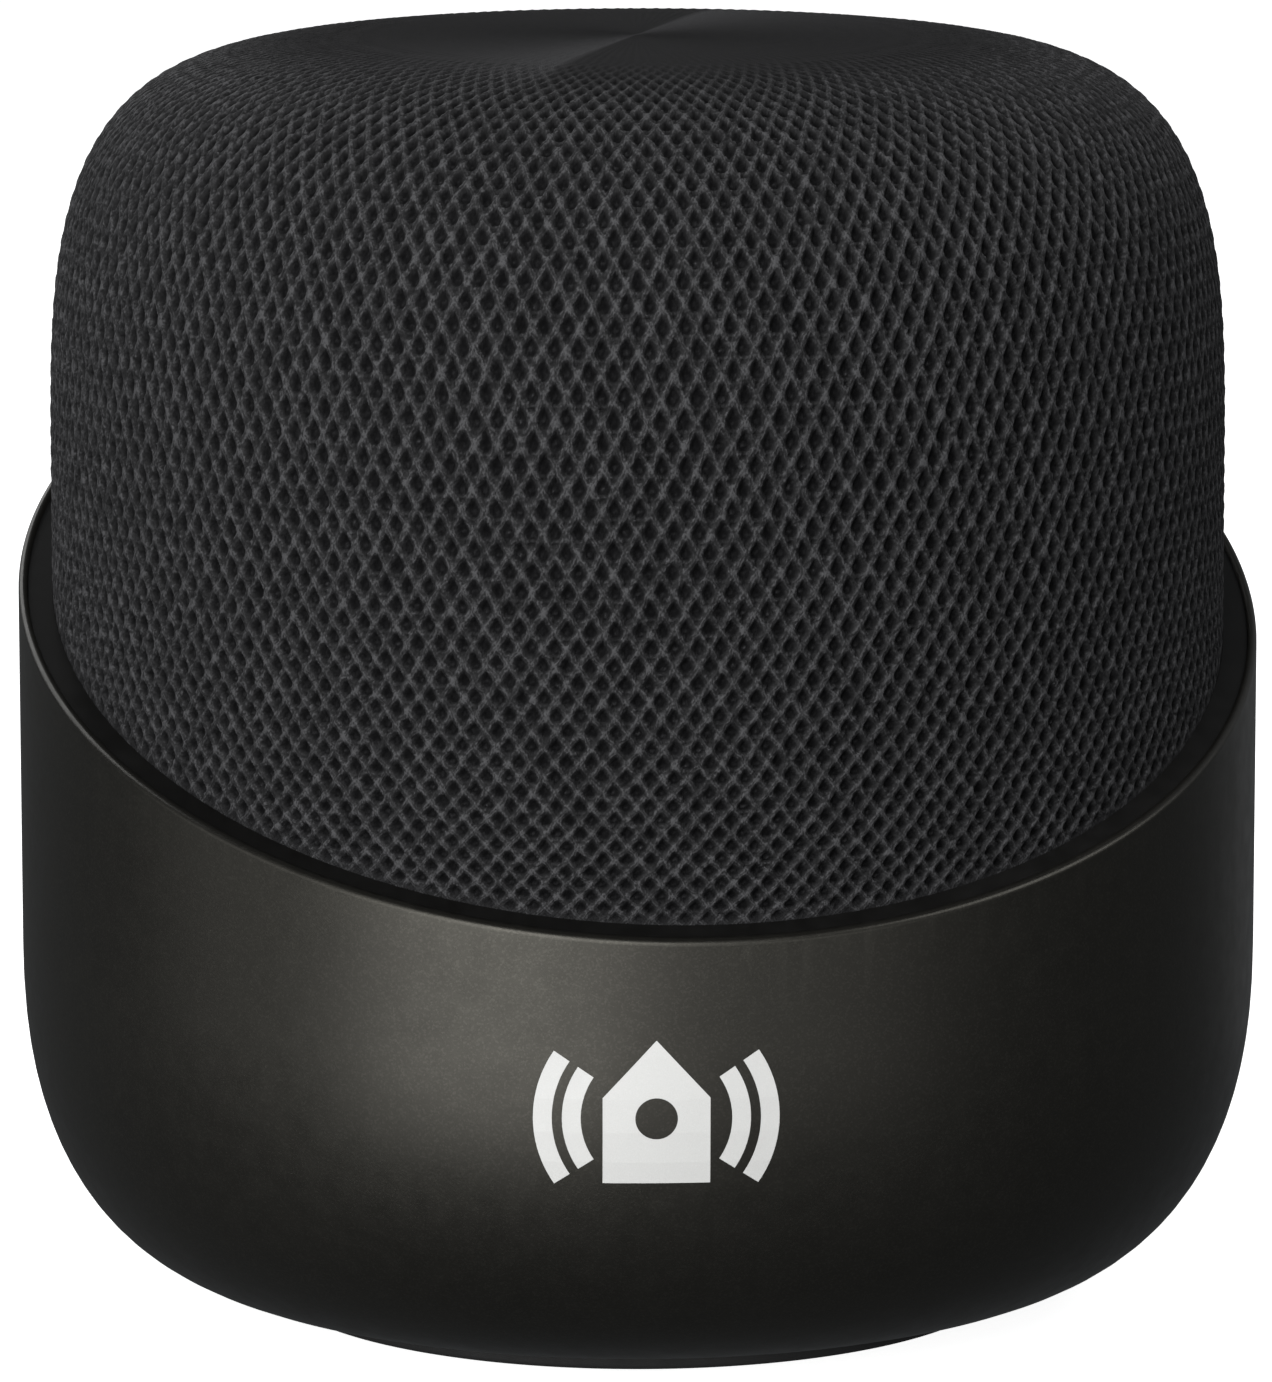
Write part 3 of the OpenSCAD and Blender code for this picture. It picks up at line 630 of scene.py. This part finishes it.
def moulded(name, colour, rough, metallic=0.0, grain=9000, depth=0.01, spread=0.12,
            stretch=(1, 1, 1), specular=0.5):
    """A surface with fine grain: its colour and roughness drift, and its grain is in the bump.

    Grain is in bumps a metre and depth in millimetres. Spread is how far the colour drifts.
    """
    material, tree, shader = start_material(name)
    drift = noise(tree, 60, 4)
    fine = noise(tree, grain, 2, stretch)
    cloudy = remap(tree, drift, 0, 1, 0.3, 0.7)
    body = blend_colour(tree, cloudy, shade(colour, 1 - spread), shade(colour, 1 + spread))
    speck = remap(tree, fine, 0, 0.35, 0.35, 0.75)
    tree.links.new(blend_colour(tree, speck, body, shade(colour, 1.35)),
                   shader.inputs["Base Color"])
    worn = remap(tree, noise(tree, 350, 5, stretch), rough - 0.06, rough + 0.08, 0.3, 0.7)
    tree.links.new(worn, shader.inputs["Roughness"])
    tree.links.new(bump(tree, fine, depth * MM), shader.inputs["Normal"])
    shader.inputs["Metallic"].default_value = metallic
    shader.inputs["Specular IOR Level"].default_value = specular
    return material


def cup_finish():
    """Satin graphite with fine metal flakes, a little more polished along the rim."""
    material, tree, shader = start_material("satin_graphite")
    graphite = (0.038, 0.0364, 0.0316, 1)
    flake = add(tree, "TexVoronoi", {"Vector": place(tree), "Scale": 7000}).outputs["Color"]
    split = add(tree, "SeparateColor", {"Color": flake})
    drift = remap(tree, noise(tree, 45, 4), 0, 1, 0.3, 0.7)
    body = blend_colour(tree, drift, shade(graphite, 0.94), shade(graphite, 1.06))
    sparkle = remap(tree, split.outputs["Red"], 0, 0.4, 0.6, 1)
    tree.links.new(blend_colour(tree, sparkle, body, shade(graphite, 1.7)),
                   shader.inputs["Base Color"])
    axes = add(tree, "SeparateXYZ", {"Vector": add(tree, "TexCoord").outputs["Object"]})
    plane = math_node(tree, "MULTIPLY_ADD", axes.outputs["Y"], RIM_TILT, RIM_MID_Z)
    under = math_node(tree, "SUBTRACT", plane, axes.outputs["Z"])
    rim = remap(tree, under, 1, 0, 0.1 * MM, 1.2 * MM)
    rough = remap(tree, noise(tree, 500, 4), 0.38, 0.44, 0.3, 0.7)
    polished = math_node(tree, "MULTIPLY_ADD", rim, -0.03, rough)
    tree.links.new(polished, shader.inputs["Roughness"])
    grain = bump(tree, split.outputs["Green"], 0.004 * MM, 0.6)
    wave = bump(tree, noise(tree, 1600, 3), 0.006 * MM, 0.5, grain)
    tree.links.new(wave, shader.inputs["Normal"])
    shader.inputs["Metallic"].default_value = 0.9
    return material


def knit_finish():
    """Black polyester knit: painted shade darkens the holes, with filaments that follow each strand.
    """
    material, tree, shader = start_material("black_knit")
    # The yarn attribute brings painted shade in the holes and painted highlights on the strands
    yarn = add(tree, "Attribute", attribute_name="yarn").outputs["Fac"]
    hollow = add(tree, "Attribute", attribute_name="hollow").outputs["Fac"]
    row = add(tree, "Attribute", attribute_name="knit_row").outputs["Fac"]
    lean = add(tree, "Attribute", attribute_name="lean").outputs["Fac"]

    # Filaments: stripes along whichever diagonal the strand follows, five to a strand
    filaments = 5
    axes = add(tree, "SeparateXYZ", {"Vector": add(tree, "TexCoord").outputs["Object"]})
    front = math_node(tree, "MULTIPLY", axes.outputs["Y"], -1.0)
    turn = math_node(tree, "ARCTAN2", axes.outputs["X"], front)
    column = math_node(tree, "MULTIPLY", turn, COLUMNS / (2 * math.pi))
    uneven = remap(tree, noise(tree, 900, 2), -0.12, 0.12, 0.3, 0.7)
    stripes = []
    for slant in (-0.5, 0.5):
        line = math_node(tree, "MULTIPLY_ADD", row, slant, column)
        line = math_node(tree, "ADD", line, uneven)
        phase = math_node(tree, "MULTIPLY", line, 2 * math.pi * filaments)
        stripes.append(math_node(tree, "SINE", phase))
    side = remap(tree, lean, 0, 1, -1, 1)
    change = math_node(tree, "SUBTRACT", stripes[0], stripes[1])
    filament = math_node(tree, "MULTIPLY_ADD", change, side, stripes[1])
    filament = remap(tree, filament, 0, 1, -1, 1)

    # Yarn tone, with flecks of single hairs and a few painted glints, which are painted highlights
    fibre = noise(tree, 6500, 3, (1, 1, 0.5), 0.75)
    fleck = remap(tree, fibre, 0.4, 1.6, 0.32, 0.68)
    band = remap(tree, filament, 0.74, 1.26)
    tone = math_node(tree, "MULTIPLY", math_node(tree, "MULTIPLY", yarn, fleck), band)
    painted_glint = remap(tree, noise(tree, 3800, 2, (1, 1, 0.5), 0.6), 0, 0.6, 0.58, 0.76)
    tone = math_node(tree, "MULTIPLY_ADD", painted_glint, yarn, tone)
    ramp = add(tree, "ValToRGB", {"Fac": tone})
    ramp.color_ramp.elements[0].color = (0.0012, 0.0012, 0.0014, 1)
    ramp.color_ramp.elements[1].color = (0.046, 0.046, 0.048, 1)
    middle = ramp.color_ramp.elements.new(0.42)
    middle.color = (0.0120, 0.0120, 0.0126, 1)
    tree.links.new(ramp.outputs["Color"], shader.inputs["Base Color"])

    # The holes and the crown are the dullest
    crown = add(tree, "Attribute", attribute_name="crown").outputs["Fac"]
    dull = math_node(tree, "MAXIMUM", hollow, crown)
    tree.links.new(remap(tree, dull, 0.65, 1.0), shader.inputs["Roughness"])
    coarse = bump(tree, filament, 0.05 * MM, 0.6)
    tree.links.new(bump(tree, fibre, 0.06 * MM, 0.8, coarse), shader.inputs["Normal"])
    shader.inputs["Specular IOR Level"].default_value = 0.10
    shader.inputs["Sheen Weight"].default_value = 0.02
    shader.inputs["Sheen Roughness"].default_value = 0.45
    shader.inputs["Sheen Tint"].default_value = (0.8, 0.8, 0.82, 1)
    return material


def board_finish():
    """Green solder mask with buried copper tracks."""
    material, tree, shader = start_material("solder_mask")
    tracks = add(tree, "TexBrick", {
        "Vector": place(tree), "Scale": 260, "Mortar Size": 0.03, "Brick Width": 1.4,
        "Row Height": 0.22, "Color1": (0.008, 0.075, 0.034, 1),
        "Color2": (0.012, 0.095, 0.042, 1), "Mortar": (0.03, 0.16, 0.07, 1),
    })
    tree.links.new(tracks.outputs["Color"], shader.inputs["Base Color"])
    tree.links.new(bump(tree, tracks.outputs["Fac"], 0.02 * MM), shader.inputs["Normal"])
    tree.links.new(remap(tree, noise(tree, 900), 0.25, 0.42), shader.inputs["Roughness"])
    return material


def woven(name, colour, threads, rough):
    """A plain woven cloth, for the driver's spider."""
    material, tree, shader = start_material(name)
    waves = [
        add(tree, "TexWave", {"Vector": place(tree), "Scale": threads},
            bands_direction=axis).outputs["Fac"]
        for axis in ("X", "Y")
    ]
    weave = math_node(tree, "MULTIPLY", *waves)
    tree.links.new(blend_colour(tree, weave, shade(colour, 0.5), shade(colour, 1.2)),
                   shader.inputs["Base Color"])
    tree.links.new(bump(tree, weave, 0.1 * MM), shader.inputs["Normal"])
    tree.links.new(remap(tree, noise(tree, 800), rough - 0.08, rough + 0.08),
                   shader.inputs["Roughness"])
    return material


FINISHES = {
    "cup_graphite": cup_finish(),
    "satin_black": moulded("satin_black", (0.0024, 0.0023, 0.0021, 1), 0.42, grain=14000,
                           depth=0.006, specular=0.2),
    "emblem_print": moulded("pale_print", (0.45, 0.45, 0.44, 1), 0.5, grain=16000,
                            depth=0.004, spread=0.03),
    "soft_rubber": moulded("soft_rubber", (0.012, 0.012, 0.012, 1), 0.75, grain=7000,
                           depth=0.02, specular=0.3),
    "knit_fabric": knit_finish(),
    "inner_plastic": moulded("inner_plastic", (0.013, 0.013, 0.014, 1), 0.55, grain=6000,
                             depth=0.02),
    "plated_steel": moulded("plated_steel", (0.55, 0.56, 0.57, 1), 0.3, metallic=1.0,
                            grain=9000, depth=0.004, stretch=(1, 0.08, 1), spread=0.06),
    "connector_black": moulded("connector_black", (0.018, 0.018, 0.019, 1), 0.45),
    "white_plastic": moulded("white_plastic", (0.72, 0.71, 0.68, 1), 0.4, depth=0.006,
                             spread=0.03),
    "circuit_board": board_finish(),
    "capacitor_can": moulded("capacitor_can", (0.62, 0.63, 0.65, 1), 0.28, metallic=1.0,
                             stretch=(1, 1, 0.1), depth=0.003, spread=0.05),
    "ferrite": moulded("ferrite", (0.03, 0.029, 0.03, 1), 0.5, metallic=0.2, grain=5000,
                       depth=0.02),
    "spider_cloth": woven("spider_cloth", (0.36, 0.22, 0.06, 1), 900, 0.8),
    "copper": moulded("copper_wire", (0.72, 0.30, 0.14, 1), 0.3, metallic=1.0,
                      stretch=(1, 1, 12), grain=1500, depth=0.02, spread=0.1),
    "paper_cone": moulded("paper_cone", (0.06, 0.06, 0.062, 1), 0.85, grain=2600,
                          depth=0.05, spread=0.2),
    "ribbon_film": moulded("ribbon_film", (0.42, 0.19, 0.035, 1), 0.3, stretch=(8, 1, 0.1),
                           grain=2500, depth=0.01, spread=0.08),
}


def finish_piece(obj, slot):
    """Gives a piece the finish of a slot of the record."""
    obj.data.materials.clear()
    obj.data.materials.append(FINISHES[slot])


def finish_nodes():
    """Each CAD node's material slots take the finish of the record's slot."""
    for entry in frame["record"]["subparts"]:
        node = frame["nodes"][entry["node"]]
        finish = FINISHES[entry["material_slot"]]
        if not node.data.materials:
            node.data.materials.append(finish)
        for holder in node.material_slots:
            holder.material = finish


# ---------------------------------------------------------------- stage

def direction(azimuth, elevation):
    """From the object towards a viewer or light: azimuth 0 is the front, 90 the +X side."""
    a, e = math.radians(azimuth), math.radians(elevation)
    return Vector((math.sin(a) * math.cos(e), -math.cos(a) * math.cos(e), math.sin(e)))


def softbox(name, azimuth, elevation, width, height, radiance):
    """A rectangular light that faces the hub. Radiance is how bright its face looks."""
    data = bpy.data.lights.new(name, "AREA")
    data.shape = "RECTANGLE"
    data.size, data.size_y = width, height
    data.energy = radiance * math.pi * width * height
    light = bpy.data.objects.new(name, data)
    aim = Vector((0, 0, VIEW_TARGET_Z))
    towards = direction(azimuth, elevation)
    light.location = aim + towards * LIGHT_DISTANCE
    light.rotation_euler = towards.to_track_quat("Z", "Y").to_euler()
    light.visible_camera = False
    bpy.context.scene.collection.objects.link(light)


def glow(name, colour, strength, albedo):
    """A pale surface that shines a little, for the floor and the backdrop."""
    material, tree, shader = start_material(name)
    shader.inputs["Base Color"].default_value = (albedo, albedo, albedo, 1)
    shader.inputs["Emission Color"].default_value = colour
    shader.inputs["Emission Strength"].default_value = strength
    shader.inputs["Roughness"].default_value = 0.9
    return material


def only_for_camera(obj):
    """Only the camera sees this object, so the hub isn't lit by it."""
    obj.visible_diffuse = False
    obj.visible_glossy = False
    obj.visible_transmission = False
    obj.visible_volume_scatter = False
    obj.visible_shadow = False


def make_stage():
    """A plain white floor and backdrop, a dim sky and seven soft lights."""
    scene = bpy.context.scene
    bpy.ops.mesh.primitive_circle_add(vertices=128, radius=1.6, fill_type="NGON")
    floor = bpy.context.object
    floor.name = "floor"
    floor.data.materials.append(glow("pale_floor", (1, 1, 1, 1), 0.92, 0.8))
    bpy.ops.mesh.primitive_uv_sphere_add(segments=64, ring_count=32, radius=4)
    backdrop = bpy.context.object
    backdrop.name = "backdrop"
    backdrop.data.materials.append(glow("white_backdrop", (1, 1, 1, 1), 1.2, 0.0))
    only_for_camera(floor)
    only_for_camera(backdrop)

    world = bpy.data.worlds.new("studio")
    world.use_nodes = True
    world.node_tree.nodes["Background"].inputs["Color"].default_value = (0.9, 0.95, 1, 1)
    world.node_tree.nodes["Background"].inputs["Strength"].default_value = 0.10
    scene.world = world
    softbox("key_light", -31, 8, width=0.80, height=1.00, radiance=4.5)
    softbox("front_fill", 22, 8, width=0.72, height=0.80, radiance=0.82)
    softbox("left_fill", -84, 12, width=0.40, height=0.80, radiance=1.00)
    softbox("right_edge", 140, 8, width=0.40, height=0.80, radiance=0.10)
    softbox("right_top", 95, 48, width=0.50, height=0.50, radiance=3.0)
    softbox("overhead", -25, 48, width=0.60, height=0.60, radiance=5.0)
    softbox("rear_fill", 200, 26, width=0.50, height=0.40, radiance=1.6)
    scene.view_settings.view_transform = "Standard"


def make_camera():
    """The camera at the photograph's viewing angle."""
    data = bpy.data.cameras.new("camera")
    data.sensor_width = SENSOR
    data.sensor_fit = "AUTO"
    data.lens = LENS
    data.shift_x = VIEW_SHIFT
    data.clip_end = 20
    camera = bpy.data.objects.new("camera", data)
    towards = direction(VIEW_AZIMUTH, VIEW_ELEVATION)
    roll = Matrix.Rotation(math.radians(VIEW_ROLL), 4, "Z")
    turn = towards.to_track_quat("Z", "Y").to_matrix().to_4x4()
    spot = Matrix.Translation(Vector((0, 0, VIEW_TARGET_Z)) + towards * VIEW_DISTANCE)
    camera.matrix_world = spot @ turn @ roll
    bpy.context.scene.collection.objects.link(camera)
    bpy.context.scene.camera = camera


# ---------------------------------------------------------------- assembly

make_camera()
make_stage()
finish_nodes()

cup = make_cup()
finish_piece(cup, "cup_graphite")
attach(cup, "hub")
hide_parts("base_shell")

foot = make_foot()
finish_piece(foot, "soft_rubber")
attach(foot, "hub")
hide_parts("rubber_foot")

sleeve = make_sleeve()
finish_piece(sleeve, "knit_fabric")
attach(sleeve, "hub")
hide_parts("fabric_sleeve")
